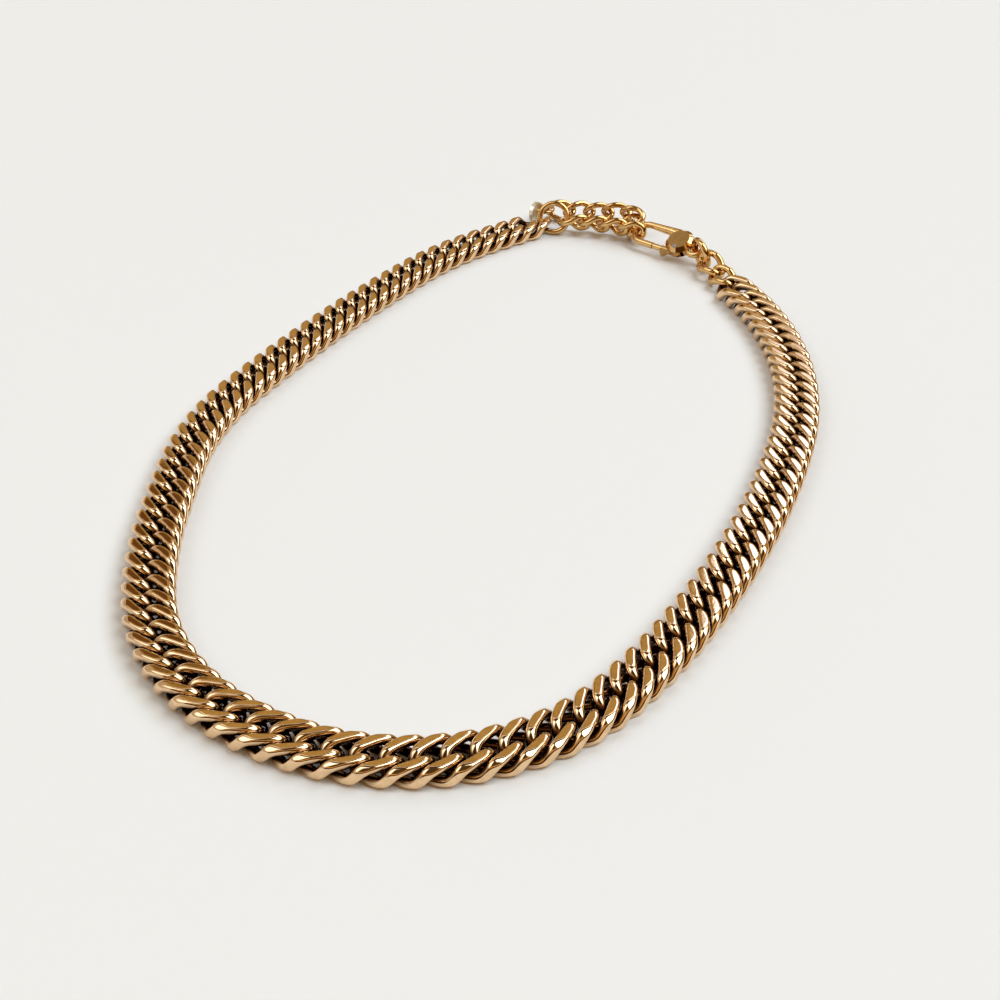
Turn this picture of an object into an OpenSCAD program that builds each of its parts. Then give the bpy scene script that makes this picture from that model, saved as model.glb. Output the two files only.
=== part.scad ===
// Double-row curb chain necklace with an extender chain and a lobster clasp, closed and laid
// on a table. Millimetres. X to the right, Y away from the front of the loop, Z up.
// The origin is on the table in the middle of the part's box; the main chain rests on z = 0.

/* [Main chain] */
// Distance from one link to the next along the chain
link_pitch = 3.85; // [3.7:0.05:4]
// Diameter of the link's wire
wire_d = 1.65; // [1.4:0.05:1.7]
// Half length of a link's centre line
link_half_length = 4.38; // [4:0.02:4.8]
// Half width of a link's centre line
link_half_width = 3.2; // [3:0.02:3.4]
// How far the centre line twists up and down
link_twist = 1.2; // [1:0.05:1.4]
// Width over the flattened sides of the chain
chain_width = 8; // [7.6:0.05:8.4]
// Thickness over the flattened top and bottom
chain_thickness = 3.3; // [3.1:0.05:3.6]
// Angle of the slanted facet between top and side
bevel_angle = 60; // [55:1:65]
// Distance from the chain's axis to the slanted facet
bevel_reach = 2.98; // [2.9:0.02:3.2]

/* [Lay of the loop] */
// Right end of the chain
chain_start = [47.35, 49.9];
// Direction the chain leaves that end in
start_heading = -68.6; // [-90:0.1:-50]
// Bends along the chain: number of links, and the turn at each of them
chain_bends = [
    [6, -2.7],
    [10, -2.2],
    [15, -1.0],
    [4, -1.8],
    [1, -4.0],
    [11, -6.3],
    [5, -5.1],
    [6, -5.2],
    [6, -1.9],
    [4, -0.5],
    [7, -3.2],
    [15, -0.6],
    [6, -2.8],
    [3, -0.8],
];
// Links that move together as one run of the chain
run_links = 3; // [3:1:3]
// First link of the middle run at the front of the loop
root_first = 48; // [48:1:48]
// Links in the middle run
root_links = 4; // [4:1:4]

/* [Extender] */
// Diameter of the extender's wire
extender_wire_d = 1.24; // [1:0.02:1.3]
// Half length of an extender link's centre line
extender_half_length = 2.95; // [2.8:0.05:3.1]
// Half width of an extender link's centre line
extender_half_width = 1.85; // [1.7:0.05:2]
// Twist of an extender link
extender_twist = 0.8; // [0.6:0.05:0.9]

/* [End links and rings] */
// Wire of the two plain links between main chain and clasp
end_wire_d = 1.4; // [1.2:0.05:1.5]
// Half length of such a link's centre line
end_half_length = 3.4; // [3.3:0.05:3.5]
// Half width of such a link's centre line
end_half_width = 2.15; // [2:0.05:2.3]
// Twist of such a link
end_twist = 0.95; // [0.8:0.05:1.1]
// Jump ring on the chain's left end: radius of its centre line
left_ring_r = 3.1; // [2.9:0.05:3.2]
// Wire of that ring
left_ring_wire_d = 1.2; // [1:0.05:1.3]
// Jump ring behind the clasp: radius of its centre line
right_ring_r = 2.8; // [2.6:0.05:2.9]
// Wire of that ring
right_ring_wire_d = 1.4; // [1.2:0.05:1.5]
// Small ring that carries the tag
drop_ring_r = 1.8; // [1.6:0.05:2]
// Wire of that ring
drop_ring_wire_d = 0.84; // [0.7:0.02:0.9]
// Angle left open at each ring's butted ends
ring_gap_angle = 3; // [1:0.5:6]

/* [Tag] */
// Diameter of the round tag
tag_d = 4.8; // [4:0.1:5.5]
// Thickness of the tag
tag_t = 0.8; // [0.6:0.05:1]
// Diameter of the tag's hole
tag_hole_d = 1.4; // [1.2:0.05:1.6]
// Distance from the tag's middle to its hole
tag_hole_offset = 1.3; // [1.2:0.05:1.5]

/* [Clasp] */
// Radius of the hook's centre line at the nose
nose_r = 2.4; // [2.3:0.05:2.6]
// Diameter of the hook's wire
hook_d = 1.4; // [1.3:0.05:1.6]
// Diameter of the arm where it meets the base
arm_root_d = 2.2; // [1.8:0.05:2.4]
// Where the hook's tip ends
tip_end_x = 5.7; // [5.4:0.05:5.9]
// Gap between tip and gate
gate_gap = 0.12; // [0.08:0.02:0.2]
// Diameter of the gate
gate_d = 1.2; // [1:0.05:1.25]
// Thickness of the clasp's base
base_t = 3; // [2.6:0.1:3.2]
// Width of the slot that holds the gate's root
slot_w = 1.36; // [1.3:0.02:1.5]
// Thickness of the gate's root
root_t = 1.16; // [1:0.02:1.2]
// Position of the gate's pin
pin_at = [11.3, -1.7];
// Diameter of the pin
pin_d = 1.0; // [0.8:0.05:1.1]
// Middle of the eyelet
eye_x = 15.2; // [15:0.1:15.6]
// Radius of the eyelet's centre line
eye_r = 1.6; // [1.5:0.05:1.8]
// Wire of the eyelet
eye_wire_d = 1.3; // [1.2:0.05:1.4]

/* [View] */
// Which node to draw

/* [Hidden] */
gold = [0.80, 0.62, 0.36];
bright_gold = [0.95, 0.85, 0.62];
steel = [0.75, 0.75, 0.75];
rings_round = 16;
rings_small = 14;
sides_round = 6;
round_fn = 48;
mid_z = chain_thickness / 2;
left_first = root_first + root_links;
base_at = [11.2, 0.2];
base_r = 3.1;
base_chamfer = 0.8;
neck_d = 2.2;
slot_back_y = 0.2;
slot_length = 6.3;
slot_overrun = 1;
slot_depth = base_r + 2 * slot_overrun;
pin_fit = 0.02;
gate_fit = 0.06;
gate_short_of_pin = 1;
gate_arm_length = pin_at[0] - gate_short_of_pin - tip_end_x - gate_gap;
boss_r = 1.2;
spring_w = 0.9;
spring_t = 0.14;
spring_line = [[9.5, -1.74], [10.6, -0.5], [11.4, -0.3], [12.9, -0.02]];
// Outline of the gate's flat root, with the thumb nub on its outer side.
gate_outline = [
    [8.0, -1.9],
    [8.0, -2.9],
    [8.6, -3.9],
    [9.1, -3.9],
    [9.8, -2.9],
    [pin_at[0], pin_at[1] - boss_r],
    [pin_at[0], pin_at[1] + 1],
    [10.3, -1.9],
];

// A link's centre line: each pair is a harmonic and its size.
main_curve = [
    [[1, link_half_length], [3, 0.44]],
    [[1, link_half_width], [3, -0.14]],
    [[2, -link_twist], [4, 0.04], [6, -0.12]],
];
extender_curve = [
    [[1, extender_half_length], [3, 0.12]],
    [[1, extender_half_width], [3, -0.05]],
    [[2, -extender_twist], [6, -0.06]],
];
end_curve = [
    [[1, end_half_length], [3, 0.15]],
    [[1, end_half_width], [3, -0.05]],
    [[2, -end_twist], [6, -0.08]],
];

// Where each small piece lies: position, then heading, rise and roll.
left_ring_at = [[11.48, 84.49, 3.28], [-12.21, 0.34, 62.83]];
extender_at = [
    [[15.91, 83.23, 2.76], [-6.7, 0, -40]],
    [[20.26, 82.37, 2.8], [-17.1, 2, -45]],
    [[24.42, 80.73, 2.88], [-28, 2, -49.8]],
    [[28.13, 78.3, 3.2], [-37, 2, -50]],
    [[28.93, 81.06, 2.76], [68, 19, 70]],
    [[28.65, 84.28, 3.56], [126.35, -5.4, 98.6]],
    [[25.44, 86.99, 3.25], [153.65, -3, 100]],
    [[21.54, 88.65, 2.59], [158.87, -4.1, 100.6]],
    [[17.28, 89.49, 2.58], [178.96, -2.8, 100.1]],
    [[13.02, 90.19, 2.58], [162.38, -2.9, 100]],
];
drop_ring_at = [[9.74, 91.44, 2.45], [161.99, 0, 0]];
tag_at = [[7.7, 89.22, 2.5], [56, 0, 90]];
clasp_at = [[29.28, 77.49, 3.21], [-41, 0, 30]];
right_ring_at = [[41.64, 64.97, 3.45], [-71.8, 9.7, 105.4]];
end_link_at = [
    [[43.22, 61.06, 2.47], [-68.8, -10.1, 17.2]],
    [[45.19, 55.88, 1.82], [-68.73, -3, 8.31]],
];

// ---- Where the links lie -------------------------------------------------------------------

// One turn for each step from a link to the next.
link_turns = [for (bend = chain_bends) for (k = [1:bend[0]]) bend[1]];

// The next link's position and heading, from this one's and the turn between them.
function next_link(at, turn) = [
    at[0] + link_pitch * cos(at[2] + turn / 2),
    at[1] + link_pitch * sin(at[2] + turn / 2),
    at[2] + turn,
];

function walk(i, at) = i == len(link_turns) ? [at] : concat([at], walk(i + 1, next_link(at, link_turns[i])));

stations = walk(0, [chain_start[0], chain_start[1], start_heading]);

// ---- The shape of a link -------------------------------------------------------------------

function wave_cos(terms, t) = [for (w = terms) w[1] * cos(w[0] * t)] * [for (w = terms) 1];
function wave_sin(terms, t) = [for (w = terms) w[1] * sin(w[0] * t)] * [for (w = terms) 1];

function centre_line(curve, t) = [wave_cos(curve[0], t), wave_sin(curve[1], t), wave_sin(curve[2], t)];

function unit(v) = v / norm(v);

function along(curve, t) = unit(centre_line(curve, t + 0.5) - centre_line(curve, t - 0.5));

// One point of the round wire's surface.
function wire_point(curve, d, t, a) =
    let (tangent = along(curve, t))
    let (side = unit(cross([0, 0, 1], tangent)))
    let (up = cross(tangent, side))
    centre_line(curve, t) + d / 2 * (cos(a) * side + sin(a) * up);

// Moves a point that stands outside the slanted facet, or outside the flats, back onto it.
function slant_cut(p) =
    let (normal = [0, sign(p[1]) * cos(bevel_angle), sign(p[2]) * sin(bevel_angle)])
    let (excess = max(0, p * normal - bevel_reach))
    p - excess * normal;

function held(v, limit) = max(-limit, min(limit, v));

function shaved(p) =
    let (q = slant_cut(p))
    [q[0], held(q[1], chain_width / 2), held(q[2], chain_thickness / 2)];

// A closed tube from rings of points; the last ring joins the first.
module tube(points, rings, sides) {
    faces = [
        for (i = [0:rings - 1])
            for (k = [0:sides - 1])
                let (a = i * sides + k)
                let (b = i * sides + (k + 1) % sides)
                let (c = ((i + 1) % rings) * sides + (k + 1) % sides)
                let (e = ((i + 1) % rings) * sides + k)
                each [[a, b, c], [a, c, e]]
    ];
    polyhedron(points = points, faces = faces, convexity = 6);
}

module flattened_link() {
    points = [
        for (i = [0:rings_round - 1])
            for (k = [0:sides_round - 1])
                shaved(wire_point(main_curve, wire_d, i * 360 / rings_round, k * 360 / sides_round))
    ];
    tube(points, rings_round, sides_round);
}

module round_link(curve, d) {
    points = [
        for (i = [0:rings_small - 1])
            for (k = [0:sides_round - 1])
                wire_point(curve, d, i * 360 / rings_small, k * 360 / sides_round)
    ];
    tube(points, rings_small, sides_round);
}

module placed(at) {
    translate(at[0])
        rotate([at[1][2], -at[1][1], at[1][0]])
            children();
}

// ---- The pieces ----------------------------------------------------------------------------

// Links of the main chain, from the first to the last of a run.
module chain_run(first, count) {
    color(gold)
        for (i = [first:first + count - 1])
            translate([stations[i][0], stations[i][1], mid_z])
                rotate([0, 0, stations[i][2]])
                    flattened_link();
}

module jump_ring(at, r, wire) {
    color(gold)
        placed(at)
            rotate([0, 0, 90 + ring_gap_angle / 2])
                rotate_extrude(angle = 360 - ring_gap_angle, $fn = round_fn)
                    translate([r, 0])
                        circle(d = wire, $fn = round_fn);
}

module extender_link(i) {
    color(gold)
        placed(extender_at[i])
            round_link(extender_curve, extender_wire_d);
}

module end_link(i) {
    color(gold)
        placed(end_link_at[i])
            round_link(end_curve, end_wire_d);
}

module hook() {
    translate([nose_r, 0, 0])
        rotate([0, 0, 90])
            rotate_extrude(angle = 180, $fn = round_fn)
                translate([nose_r, 0])
                    circle(d = hook_d, $fn = round_fn);
    translate([nose_r, -nose_r, 0])
        rotate([0, 90, 0])
            cylinder(d = hook_d, h = tip_end_x - nose_r, $fn = round_fn);
    translate([nose_r, nose_r, 0])
        rotate([0, 90, 0])
            cylinder(d1 = hook_d, d2 = arm_root_d, h = base_at[0] - nose_r, $fn = round_fn);
}

// The base is a thick disc with a broad chamfer, joined to the eyelet by a short neck.
module clasp_base() {
    translate([base_at[0], base_at[1], 0])
        rotate_extrude($fn = round_fn)
            polygon([
                [0, -base_t / 2],
                [base_r - base_chamfer, -base_t / 2],
                [base_r, -base_t / 2 + base_chamfer],
                [base_r, base_t / 2 - base_chamfer],
                [base_r - base_chamfer, base_t / 2],
                [0, base_t / 2],
            ]);
    translate([base_at[0], 0, 0])
        rotate([0, 90, 0])
            cylinder(d = neck_d, h = eye_x - eye_r - base_at[0], $fn = round_fn);
}

module eyelet() {
    translate([eye_x, 0, 0])
        rotate_extrude($fn = round_fn)
            translate([eye_r, 0])
                circle(d = eye_wire_d, $fn = round_fn);
}

module clasp_body() {
    color(gold)
        placed(clasp_at)
            difference() {
                union() {
                    hook();
                    clasp_base();
                    eyelet();
                }
                translate([base_at[0] - base_r - slot_overrun, slot_back_y - slot_depth, -slot_w / 2])
                    cube([slot_length, slot_depth, slot_w]);
                translate([pin_at[0], pin_at[1], -base_t])
                    cylinder(d = pin_d + 2 * pin_fit, h = 2 * base_t, $fn = round_fn);
            }
}

module clasp_gate() {
    color(gold)
        placed(clasp_at)
            difference() {
                union() {
                    translate([tip_end_x + gate_gap, -nose_r, 0])
                        rotate([0, 90, 0])
                            cylinder(d = gate_d, h = gate_arm_length, $fn = round_fn);
                    translate([0, 0, -root_t / 2])
                        linear_extrude(height = root_t)
                            polygon(gate_outline);
                    translate([pin_at[0], pin_at[1], -root_t / 2])
                        cylinder(r = boss_r, h = root_t, $fn = round_fn);
                }
                translate([pin_at[0], pin_at[1], -base_t])
                    cylinder(d = pin_d + 2 * gate_fit, h = 2 * base_t, $fn = round_fn);
            }
}

module clasp_pin() {
    color(steel)
        placed(clasp_at)
            translate([pin_at[0], pin_at[1], -base_t / 2])
                cylinder(d = pin_d, h = base_t, $fn = round_fn);
}

// A bent leaf that lies behind the gate's root and pushes the gate against the hook's tip.
module gate_spring() {
    color(steel)
        placed(clasp_at)
            translate([0, 0, -spring_w / 2])
                linear_extrude(height = spring_w)
                    polygon(concat(spring_line, [
                        for (i = [len(spring_line) - 1:-1:0]) spring_line[i] + [0, spring_t]
                    ]));
}

module tag() {
    color(bright_gold)
        placed(tag_at)
            translate([0, 0, -tag_t / 2])
                difference() {
                    cylinder(d = tag_d, h = tag_t, $fn = round_fn);
                    translate([tag_hole_offset, 0, -tag_t])
                        cylinder(d = tag_hole_d, h = 3 * tag_t, $fn = round_fn);
                }
}

// ---- Nodes ---------------------------------------------------------------------------------

// right_01 is the run at the right end of the chain, left_16 the run at its left end.

chain_run(0 * run_links, run_links);  // right_01
chain_run(1 * run_links, run_links);  // right_02
chain_run(2 * run_links, run_links);  // right_03
chain_run(3 * run_links, run_links);  // right_04
chain_run(4 * run_links, run_links);  // right_05
chain_run(5 * run_links, run_links);  // right_06
chain_run(6 * run_links, run_links);  // right_07
chain_run(7 * run_links, run_links);  // right_08
chain_run(8 * run_links, run_links);  // right_09
chain_run(9 * run_links, run_links);  // right_10
chain_run(10 * run_links, run_links);  // right_11
chain_run(11 * run_links, run_links);  // right_12
chain_run(12 * run_links, run_links);  // right_13
chain_run(13 * run_links, run_links);  // right_14
chain_run(14 * run_links, run_links);  // right_15
chain_run(15 * run_links, run_links);  // right_16
chain_run(root_first, root_links);  // front_run
chain_run(left_first + 0 * run_links, run_links);  // left_01
chain_run(left_first + 1 * run_links, run_links);  // left_02
chain_run(left_first + 2 * run_links, run_links);  // left_03
chain_run(left_first + 3 * run_links, run_links);  // left_04
chain_run(left_first + 4 * run_links, run_links);  // left_05
chain_run(left_first + 5 * run_links, run_links);  // left_06
chain_run(left_first + 6 * run_links, run_links);  // left_07
chain_run(left_first + 7 * run_links, run_links);  // left_08
chain_run(left_first + 8 * run_links, run_links);  // left_09
chain_run(left_first + 9 * run_links, run_links);  // left_10
chain_run(left_first + 10 * run_links, run_links);  // left_11
chain_run(left_first + 11 * run_links, run_links);  // left_12
chain_run(left_first + 12 * run_links, run_links);  // left_13
chain_run(left_first + 13 * run_links, run_links);  // left_14
chain_run(left_first + 14 * run_links, run_links);  // left_15
chain_run(left_first + 15 * run_links, run_links);  // left_16
extender_link(0);  // extender_01
extender_link(1);  // extender_02
extender_link(2);  // extender_03
extender_link(3);  // extender_04
extender_link(4);  // extender_05
extender_link(5);  // extender_06
extender_link(6);  // extender_07
extender_link(7);  // extender_08
extender_link(8);  // extender_09
extender_link(9);  // extender_10
end_link(0);  // end_link_1
end_link(1);  // end_link_2
jump_ring(left_ring_at, left_ring_r, left_ring_wire_d);  // left_ring
jump_ring(right_ring_at, right_ring_r, right_ring_wire_d);  // right_ring
jump_ring(drop_ring_at, drop_ring_r, drop_ring_wire_d);  // drop_ring
tag();
clasp_body();
clasp_gate();
clasp_pin();
gate_spring();
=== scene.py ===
import math

import bpy
import numpy as np
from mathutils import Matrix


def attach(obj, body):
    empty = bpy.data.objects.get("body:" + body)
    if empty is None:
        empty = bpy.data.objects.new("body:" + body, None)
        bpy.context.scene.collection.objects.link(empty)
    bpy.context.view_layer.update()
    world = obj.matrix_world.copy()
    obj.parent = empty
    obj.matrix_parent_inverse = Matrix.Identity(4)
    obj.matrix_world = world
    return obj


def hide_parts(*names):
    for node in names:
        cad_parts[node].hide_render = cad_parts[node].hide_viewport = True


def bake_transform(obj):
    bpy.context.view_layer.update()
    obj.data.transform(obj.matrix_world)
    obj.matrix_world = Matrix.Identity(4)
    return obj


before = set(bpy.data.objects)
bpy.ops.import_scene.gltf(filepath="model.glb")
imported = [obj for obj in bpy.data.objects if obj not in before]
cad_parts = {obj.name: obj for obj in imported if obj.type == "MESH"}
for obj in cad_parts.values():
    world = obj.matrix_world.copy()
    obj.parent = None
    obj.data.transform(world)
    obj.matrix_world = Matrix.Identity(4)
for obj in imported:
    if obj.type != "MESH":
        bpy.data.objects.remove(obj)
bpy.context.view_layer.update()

MM = 0.001

# ---- Sizes, in millimetres, as in the CAD model --------------------------------------------

LINK_PITCH = 3.85
WIRE_D = 1.65
CHAIN_WIDTH = 8.0
CHAIN_THICKNESS = 3.3
BEVEL_ANGLE = math.radians(60)
BEVEL_REACH = 2.98
CHAIN_START = (47.35, 49.9)
START_HEADING = -68.6
# Number of links, and the turn at each of them, from the right end round to the left end.
CHAIN_BENDS = [
    (6, -2.7), (10, -2.2), (15, -1.0), (4, -1.8), (1, -4.0), (11, -6.3), (5, -5.1),
    (6, -5.2), (6, -1.9), (4, -0.5), (7, -3.2), (15, -0.6), (6, -2.8), (3, -0.8),
]
RUN_LINKS = 3
RUNS_A_SIDE = 16
FRONT_FIRST = RUN_LINKS * RUNS_A_SIDE
FRONT_LINKS = 4
LEFT_FIRST = FRONT_FIRST + FRONT_LINKS

# A centre line's harmonics and their sizes along x, y and z.
MAIN_CURVE = (((1, 4.38), (3, 0.44)), ((1, 3.2), (3, -0.14)), ((2, -1.2), (4, 0.04), (6, -0.12)))
EXTENDER_CURVE = (((1, 2.95), (3, 0.12)), ((1, 1.85), (3, -0.05)), ((2, -0.8), (6, -0.06)))
END_CURVE = (((1, 3.4), (3, 0.15)), ((1, 2.15), (3, -0.05)), ((2, -0.95), (6, -0.08)))
EXTENDER_WIRE_D = 1.24
END_WIRE_D = 1.4

# The clasp's leaf spring: where the clasp lies, and the bent line that the spring follows beside the
# gate.
CLASP_AT = ((29.28, 77.49, 3.21), (-41, 0, 30))
SPRING_LINE = ((9.5, -1.74), (10.6, -0.5), (11.4, -0.3), (12.9, -0.02))
SPRING_W = 0.9
SPRING_T = 0.14
SPRING_STATIONS = 31

# Where each small piece lies: position, then heading, rise and roll in degrees.
EXTENDER_AT = [
    ((15.91, 83.23, 2.76), (-6.7, 0, -40)),
    ((20.26, 82.37, 2.8), (-17.1, 2, -45)),
    ((24.42, 80.73, 2.88), (-28, 2, -49.8)),
    ((28.13, 78.3, 3.2), (-37, 2, -50)),
    ((28.93, 81.06, 2.76), (68, 19, 70)),
    ((28.65, 84.28, 3.56), (126.35, -5.4, 98.6)),
    ((25.44, 86.99, 3.25), (153.65, -3, 100)),
    ((21.54, 88.65, 2.59), (158.87, -4.1, 100.6)),
    ((17.28, 89.49, 2.58), (178.96, -2.8, 100.1)),
    ((13.02, 90.19, 2.58), (162.38, -2.9, 100)),
]
END_LINK_AT = [
    ((43.22, 61.06, 2.47), (-68.8, -10.1, 17.2)),
    ((45.19, 55.88, 1.82), (-68.73, -3, 8.31)),
]

# Resolution of the link meshes: rings along the wire and points round it.
LINK_RINGS = 120
LINK_SIDES = 36
SMALL_RINGS = 72
SMALL_SIDES = 20
# A step along a centre line, in radians, that is short enough to give its direction.
CURVE_STEP = 0.004
# A ray that faces a flat less than this runs beside it, and meets it nowhere near.
LEAST_FACING = 1e-3
NOWHERE_NEAR = 10.0
# How softly the level, the slanted and the upright flats meet the round wire.
LEVEL_EDGE = 0.03
SLANT_EDGE = 0.07
UPRIGHT_EDGE = 0.1
# Depth below the flats where the painted groove shade and the added roughness start, and where they are
# at full strength.
SHADE_AND_MATT_DEPTH = (0.25, 0.85)


# ---- Curves and frames ---------------------------------------------------------------------


def wave(terms, t, function):
    return sum(size * function(order * t) for order, size in terms)


def centre_line(curve, t):
    x, y, z = curve
    return np.stack([wave(x, t, np.cos), wave(y, t, np.sin), wave(z, t, np.sin)], axis=-1)


def unit(v):
    return v / np.linalg.norm(v, axis=-1, keepdims=True)


def wire_frame(curve, t):
    """Centre, side and up directions of the wire at each t."""
    tangent = unit(centre_line(curve, t + CURVE_STEP) - centre_line(curve, t - CURVE_STEP))
    side = unit(np.cross(np.array([0.0, 0.0, 1.0]), tangent))
    up = np.cross(tangent, side)
    return centre_line(curve, t), side, up


def turn(heading, rise, roll):
    """Rotation matrix of a piece that points along +X at rest."""
    h, p, r = (math.radians(a) for a in (heading, rise, roll))
    about_z = np.array([[math.cos(h), -math.sin(h), 0], [math.sin(h), math.cos(h), 0], [0, 0, 1]])
    about_y = np.array([[math.cos(p), 0, -math.sin(p)], [0, 1, 0], [math.sin(p), 0, math.cos(p)]])
    about_x = np.array([[1, 0, 0], [0, math.cos(r), -math.sin(r)], [0, math.sin(r), math.cos(r)]])
    return about_z @ about_y @ about_x


def placed(points, at):
    position, angles = at
    return points @ turn(*angles).T + np.array(position)


def chain_stations():
    """Position and heading of every main link."""
    x, y = CHAIN_START
    heading = START_HEADING
    stations = [(x, y, heading)]
    for count, bend in CHAIN_BENDS:
        for _ in range(count):
            middle = math.radians(heading + bend / 2)
            x += LINK_PITCH * math.cos(middle)
            y += LINK_PITCH * math.sin(middle)
            heading += bend
            stations.append((x, y, heading))
    return stations


# ---- Meshes --------------------------------------------------------------------------------


def soft_min(a, b, softness):
    """The smaller of the two, rounded off where they meet."""
    return np.minimum(a, b) - softness * np.log1p(np.exp(-np.abs(a - b) / softness))


def flat_planes():
    """Outward normal, reach and edge softness of each ground flat."""
    planes = []
    for sy in (-1, 1):
        planes.append(((0, sy, 0), CHAIN_WIDTH / 2, UPRIGHT_EDGE))
        for sz in (-1, 1):
            slant = (0, sy * math.cos(BEVEL_ANGLE), sz * math.sin(BEVEL_ANGLE))
            planes.append((slant, BEVEL_REACH, SLANT_EDGE))
    for sz in (-1, 1):
        planes.append(((0, 0, sz), CHAIN_THICKNESS / 2, LEVEL_EDGE))
    return planes


def ring_points(curve, wire_d, rings, sides, planes=()):
    """Points of a closed wire, ring by ring, ground flat where a plane cuts it."""
    t = np.arange(rings) * 2 * math.pi / rings
    a = np.arange(sides) * 2 * math.pi / sides
    centre, side, up = wire_frame(curve, t)
    ray = np.cos(a)[None, :, None] * side[:, None, :] + np.sin(a)[None, :, None] * up[:, None, :]
    reach = np.full((rings, sides), wire_d / 2)
    for normal, limit, softness in planes:
        towards = ray @ np.array(normal)
        room = (limit - centre @ np.array(normal))[:, None]
        cut = np.where(towards > LEAST_FACING, room / np.maximum(towards, LEAST_FACING), NOWHERE_NEAR)
        reach = soft_min(reach, cut, softness)
    return centre[:, None, :] + reach[:, :, None] * ray


def depth_below(points, planes):
    """How far each point lies below the nearest flat; the edges' softness plays no part."""
    return np.min([limit - points @ np.array(normal) for normal, limit, _ in planes], axis=0)


def tube_faces(rings, sides, start=0):
    """Quads of a closed tube whose first point has the number start."""
    i, k = np.meshgrid(np.arange(rings), np.arange(sides), indexing="ij")
    j, m = (i + 1) % rings, (k + 1) % sides
    quads = np.stack([i * sides + k, i * sides + m, j * sides + m, j * sides + k], axis=-1)
    return (quads.reshape(-1, 4) + start).tolist()


def new_piece(name, points, faces, body, material, nodes, groove_shade_and_matt=None):
    """A mesh in millimetres that stands in for CAD nodes. Without a body, it is left unattached."""
    mesh = bpy.data.meshes.new(name)
    mesh.from_pydata((points * MM).tolist(), [], faces)
    mesh.polygons.foreach_set("use_smooth", [True] * len(mesh.polygons))
    mesh.materials.append(material)
    # Per-point strength of the painted groove shade and of the added roughness.
    if groove_shade_and_matt is not None:
        mesh.attributes.new("groove_shade_and_matt", "FLOAT", "POINT").data.foreach_set("value", groove_shade_and_matt)
    mesh.update()
    piece = bpy.data.objects.new(name, mesh)
    bpy.context.scene.collection.objects.link(piece)
    if body:
        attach(piece, body)
    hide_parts(*nodes)
    return piece


# ---- Materials -----------------------------------------------------------------------------


# Painted shade deep between the links: the dark colour that the gold there is mixed towards, and its
# added roughness.
GROOVE_SHADE_TONE = (0.11, 0.05, 0.018)
RECESS_ROUGHNESS = 0.02
# Mottling: its fineness, the part of the noise it spans, and the colour's factors at both ends.
MOTTLE_SCALE = 900
MOTTLE_DETAIL = 4
MOTTLE_SPAN = (0.3, 0.7)
MOTTLE_TONES = (0.86, 1.06)
# Wear: its fineness, the part of the noise it spans, the roughness's factors at both ends, and
# the strength and depth in metres of the scratches.
WEAR_SCALE = 2600
WEAR_DETAIL = 6
WEAR_SPAN = (0.3, 0.7)
WEAR_GLOSS = (0.75, 1.3)
SCRATCH_STRENGTH = 0.12
SCRATCH_DEPTH = 0.00003


def gold_material(name, colour, roughness):
    """Polished gold plating: faint mottling, fine scratches, and painted shade with added roughness in
    the grooves.
    """
    material = bpy.data.materials.new(name)
    material.use_nodes = True
    nodes, links = material.node_tree.nodes, material.node_tree.links
    shader = nodes["Principled BSDF"]
    shader.inputs["Metallic"].default_value = 1.0
    place = nodes.new("ShaderNodeTexCoord")

    mottle = nodes.new("ShaderNodeTexNoise")
    mottle.inputs["Scale"].default_value = MOTTLE_SCALE
    mottle.inputs["Detail"].default_value = MOTTLE_DETAIL
    links.new(place.outputs["Object"], mottle.inputs["Vector"])
    tint = nodes.new("ShaderNodeValToRGB")
    for element, position, tone in zip(tint.color_ramp.elements, MOTTLE_SPAN, MOTTLE_TONES):
        element.position = position
        element.color = (*[min(1, c * tone) for c in colour], 1)
    links.new(mottle.outputs["Fac"], tint.inputs["Fac"])
    groove_shade_and_matt = nodes.new("ShaderNodeAttribute")
    groove_shade_and_matt.attribute_name = "groove_shade_and_matt"
    # Painted shade: the gold's colour is mixed towards a dark tone deep between the links.
    groove_shaded = nodes.new("ShaderNodeMix")
    groove_shaded.data_type = "RGBA"
    groove_shaded.inputs["B"].default_value = (*GROOVE_SHADE_TONE, 1)
    links.new(groove_shade_and_matt.outputs["Fac"], groove_shaded.inputs["Factor"])
    links.new(tint.outputs["Color"], groove_shaded.inputs["A"])
    links.new(groove_shaded.outputs["Result"], shader.inputs["Base Color"])

    wear = nodes.new("ShaderNodeTexNoise")
    wear.inputs["Scale"].default_value = WEAR_SCALE
    wear.inputs["Detail"].default_value = WEAR_DETAIL
    links.new(place.outputs["Object"], wear.inputs["Vector"])
    gloss = nodes.new("ShaderNodeMapRange")
    gloss.inputs["From Min"].default_value = WEAR_SPAN[0]
    gloss.inputs["From Max"].default_value = WEAR_SPAN[1]
    gloss.inputs["To Min"].default_value = roughness * WEAR_GLOSS[0]
    gloss.inputs["To Max"].default_value = roughness * WEAR_GLOSS[1]
    links.new(wear.outputs["Fac"], gloss.inputs["Value"])
    matt = nodes.new("ShaderNodeMath")
    matt.operation = "MULTIPLY_ADD"
    matt.inputs[1].default_value = RECESS_ROUGHNESS
    links.new(groove_shade_and_matt.outputs["Fac"], matt.inputs[0])
    links.new(gloss.outputs["Result"], matt.inputs[2])
    links.new(matt.outputs["Value"], shader.inputs["Roughness"])

    scratches = nodes.new("ShaderNodeBump")
    scratches.inputs["Strength"].default_value = SCRATCH_STRENGTH
    scratches.inputs["Distance"].default_value = SCRATCH_DEPTH
    links.new(wear.outputs["Fac"], scratches.inputs["Height"])
    links.new(scratches.outputs["Normal"], shader.inputs["Normal"])
    return material


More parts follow.
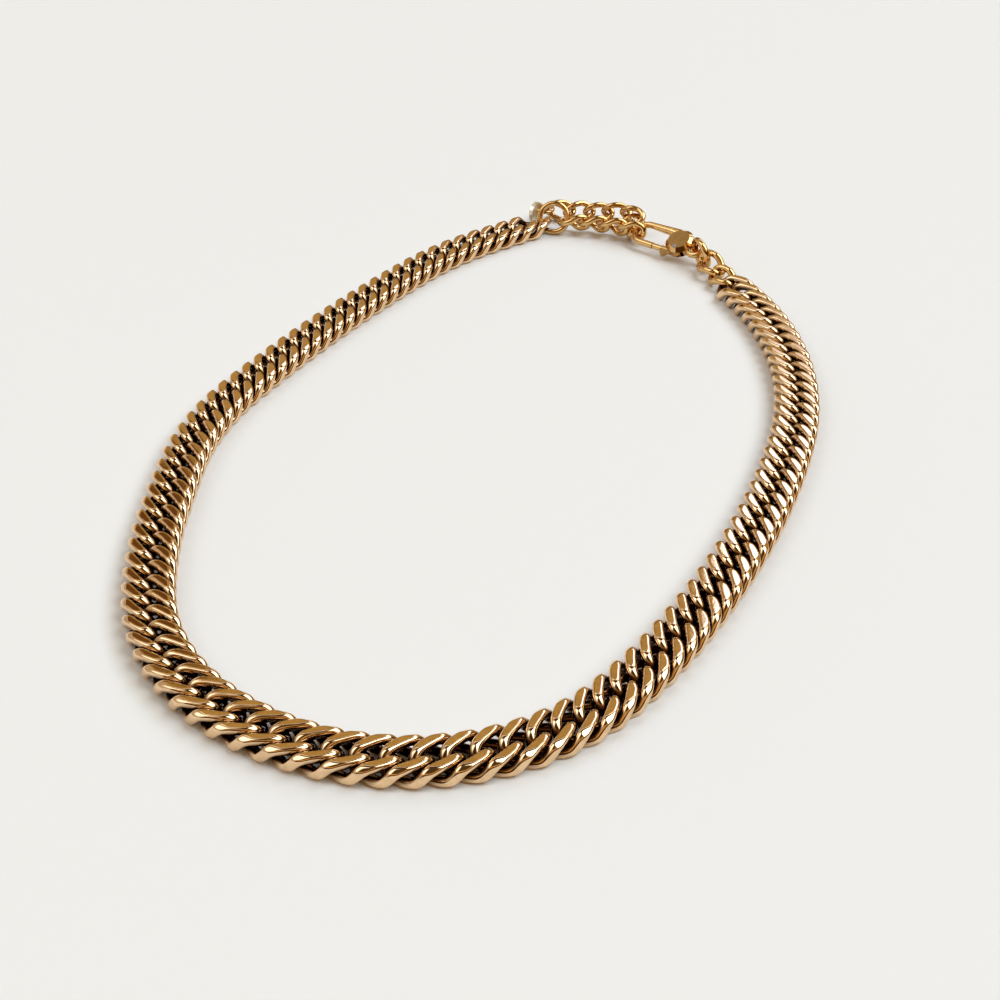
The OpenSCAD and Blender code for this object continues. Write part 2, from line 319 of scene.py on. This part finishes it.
GOLD = gold_material("chain_gold", (0.87, 0.60, 0.35), 0.05)
FINDING_GOLD = gold_material("finding_gold", (0.74, 0.46, 0.18), 0.05)
CLASP_GOLD = gold_material("clasp_gold", (0.78, 0.49, 0.20), 0.07)
TAG_GOLD = gold_material("tag_gold", (0.97, 0.90, 0.76), 0.32)
STEEL = gold_material("spring_steel", (0.55, 0.53, 0.50), 0.25)


# ---- The chain -----------------------------------------------------------------------------


def chain_run(name, first, count):
    planes = flat_planes()
    template = ring_points(MAIN_CURVE, WIRE_D, LINK_RINGS, LINK_SIDES, planes).reshape(-1, 3)
    shade_start, shade_end = SHADE_AND_MATT_DEPTH
    # Painted shade: the deeper a point lies below the flats, the darker its colour is painted and the
    # rougher it is.
    groove_shade_and_matt = np.clip((depth_below(template, planes) - shade_start) / (shade_end - shade_start), 0, 1)
    points, faces = [], []
    for i in range(count):
        x, y, heading = STATIONS[first + i]
        points.append(placed(template, ((x, y, CHAIN_THICKNESS / 2), (heading, 0, 0))))
        faces += tube_faces(LINK_RINGS, LINK_SIDES, i * len(template))
    new_piece("links_" + name, np.concatenate(points), faces, name, GOLD, [name],
              np.tile(groove_shade_and_matt, count))


def small_link(name, curve, wire_d, at):
    points = placed(ring_points(curve, wire_d, SMALL_RINGS, SMALL_SIDES).reshape(-1, 3), at)
    new_piece("wire_" + name, points, tube_faces(SMALL_RINGS, SMALL_SIDES), name, FINDING_GOLD,
              [name])


STATIONS = chain_stations()
for side in range(RUNS_A_SIDE):
    chain_run(f"right_{side + 1:02d}", side * RUN_LINKS, RUN_LINKS)
    chain_run(f"left_{side + 1:02d}", LEFT_FIRST + side * RUN_LINKS, RUN_LINKS)
chain_run("front_run", FRONT_FIRST, FRONT_LINKS)
for number, at in enumerate(EXTENDER_AT, start=1):
    small_link(f"extender_{number:02d}", EXTENDER_CURVE, EXTENDER_WIRE_D, at)
for number, at in enumerate(END_LINK_AT, start=1):
    small_link(f"end_link_{number}", END_CURVE, END_WIRE_D, at)

# ---- The spring ----------------------------------------------------------------------------


def leaf_spring():
    """The spring as a thin bent strip, seated in the clasp beside the gate."""
    along = np.linspace(0, len(SPRING_LINE) - 1, SPRING_STATIONS)
    corners = np.arange(len(SPRING_LINE))
    x, y = (np.interp(along, corners, values) for values in zip(*SPRING_LINE))
    half_w = SPRING_W / 2
    section = [(0, -half_w), (SPRING_T, -half_w), (SPRING_T, half_w), (0, half_w)]
    points = np.array([(u, v + dy, z) for u, v in zip(x, y) for dy, z in section])
    faces = [(0, 3, 2, 1), tuple(range(len(points) - 4, len(points)))]
    for i in range(0, len(points) - 4, 4):
        faces += [(i + k, i + (k + 1) % 4, i + (k + 1) % 4 + 4, i + k + 4) for k in range(4)]
    points = placed(points, CLASP_AT)
    piece = new_piece("leaf_spring", points, faces, None, STEEL, ["gate_spring"])
    piece.data.polygons.foreach_set("use_smooth", [False] * len(faces))
    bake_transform(piece)


leaf_spring()

# ---- CAD nodes that stay -------------------------------------------------------------------

KEPT = {
    "left_ring": FINDING_GOLD,
    "right_ring": FINDING_GOLD,
    "drop_ring": FINDING_GOLD,
    "clasp_body": CLASP_GOLD,
    "clasp_gate": CLASP_GOLD,
    "clasp_pin": STEEL,
    "tag": TAG_GOLD,
}
for node, material in KEPT.items():
    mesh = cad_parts[node].data
    mesh.materials.clear()
    mesh.materials.append(material)

# ---- Floor, light and camera ---------------------------------------------------------------

FLOOR_SIZE = 6
FLOOR_MIDDLE = (0, 1, 0)
FLOOR_COLOUR = (0.86, 0.86, 0.84)
FLOOR_ROUGHNESS = 0.75


def floor():
    bpy.ops.mesh.primitive_plane_add(size=FLOOR_SIZE, location=FLOOR_MIDDLE)
    plane = bpy.context.active_object
    plane.name = "floor"
    material = bpy.data.materials.new("floor_paper")
    material.use_nodes = True
    shader = material.node_tree.nodes["Principled BSDF"]
    shader.inputs["Base Color"].default_value = (*FLOOR_COLOUR, 1)
    shader.inputs["Roughness"].default_value = FLOOR_ROUGHNESS
    plane.data.materials.append(material)


# Bright and dark panels of the room: azimuth from +Y towards +X and elevation, both in degrees,
# the softness of the upright and of the level edges, and the light that the panel gives. Later
# panels cover earlier ones.
ROOM_TONE = (0.09, 0.055, 0.022)
PANELS = [
    ("low_wall", (-180, 180), (-20, 13), (4, 4), (0.27, 0.19, 0.09)),
    ("left_low_wall", (-130, -18), (-20, 13), (4, 4), (0.80, 0.80, 0.82)),
    ("left_wall", (-130, -16), (13, 60), (10, 10), (0.55, 0.47, 0.36)),
    ("left_window", (-120, -70), (35, 80), (12, 12), (2.0, 2.1, 2.2)),
    ("back_wall", (-30, 60), (19, 45), (3, 3), (0.47, 0.33, 0.12)),
    ("dark_door", (-40, -12.5), (30, 38), (2, 2), (0.15, 0.07, 0.02)),
    ("right_shade", (14, 60), (-2, 20), (4, 4), (0.30, 0.18, 0.05)),
    ("high_band", (-40, 60), (48, 52), (3, 3), (1.6, 1.55, 1.5)),
    ("behind_low", (115, 180), (-20, 26), (10, 3), (0.08, 0.035, 0.012)),
    ("behind_low_left", (-180, -130), (-20, 26), (10, 3), (0.08, 0.035, 0.012)),
    ("lamp_glow", (115, 180), (28, 48), (10, 4), (0.70, 0.42, 0.15)),
    ("lamp_glow_left", (-180, -130), (28, 48), (10, 4), (0.70, 0.42, 0.15)),
    ("window", (9.5, 42), (27.5, 46), (1.5, 6), (2.2, 2.5, 3.4)),
    ("side_window", (55, 125), (35, 82), (12, 12), (4.11, 4.42, 4.60)),
]


def room():
    """A room lit by a broad window on the right, with a tan wall behind the necklace."""
    world = bpy.data.worlds.new("room")
    bpy.context.scene.world = world
    world.use_nodes = True
    nodes, links = world.node_tree.nodes, world.node_tree.links

    def maths(operation, *values):
        node = nodes.new("ShaderNodeMath")
        node.operation = operation
        for socket, value in zip(node.inputs, values):
            if isinstance(value, (int, float)):
                socket.default_value = value
            else:
                links.new(value, socket)
        return node.outputs["Value"]

    def rise(value, start, width):
        """0 below start and 1 above it, over the given width."""
        node = nodes.new("ShaderNodeMapRange")
        node.interpolation_type = "SMOOTHSTEP"
        node.inputs["From Min"].default_value = math.radians(start - width / 2)
        node.inputs["From Max"].default_value = math.radians(start + width / 2)
        links.new(value, node.inputs["Value"])
        return node.outputs["Result"]

    def band(value, limits, width):
        return maths("SUBTRACT", rise(value, limits[0], width), rise(value, limits[1], width))

    place = nodes.new("ShaderNodeTexCoord")
    parts = nodes.new("ShaderNodeSeparateXYZ")
    links.new(place.outputs["Generated"], parts.inputs["Vector"])
    azimuth = maths("ARCTAN2", parts.outputs["X"], parts.outputs["Y"])
    elevation = maths("ARCSINE", parts.outputs["Z"])
    tone = nodes.new("ShaderNodeRGB")
    tone.outputs["Color"].default_value = (*ROOM_TONE, 1)
    light = tone.outputs["Color"]
    for name, across, up, edges, colour in PANELS:
        mix = nodes.new("ShaderNodeMix")
        mix.label = name
        mix.data_type = "RGBA"
        mix.clamp_result = False
        cover = maths("MULTIPLY", band(azimuth, across, edges[0]), band(elevation, up, edges[1]))
        links.new(cover, mix.inputs["Factor"])
        links.new(light, mix.inputs["A"])
        mix.inputs["B"].default_value = (*colour, 1)
        light = mix.outputs["Result"]
    links.new(light, nodes["Background"].inputs["Color"])


# The camera: sensor width in millimetres, focal length over that width, the lens's place in
# metres, its tilt below level in degrees, and the nearest distance it sees in metres.
SENSOR_WIDTH = 36
FOCAL_RATIO = 1.577
CAMERA_AT = (-0.00032, -0.2402, 0.1366)
CAMERA_TILT = 32.47
NEAREST_SEEN = 0.01


def camera():
    data = bpy.data.cameras.new("camera")
    data.sensor_width = SENSOR_WIDTH
    data.lens = SENSOR_WIDTH * FOCAL_RATIO
    data.clip_start = NEAREST_SEEN
    eye = bpy.data.objects.new("camera", data)
    bpy.context.scene.collection.objects.link(eye)
    eye.location = CAMERA_AT
    eye.rotation_euler = (math.radians(90 - CAMERA_TILT), 0, 0)
    bpy.context.scene.camera = eye


floor()
room()
camera()
bpy.context.scene.view_settings.view_transform = "Standard"
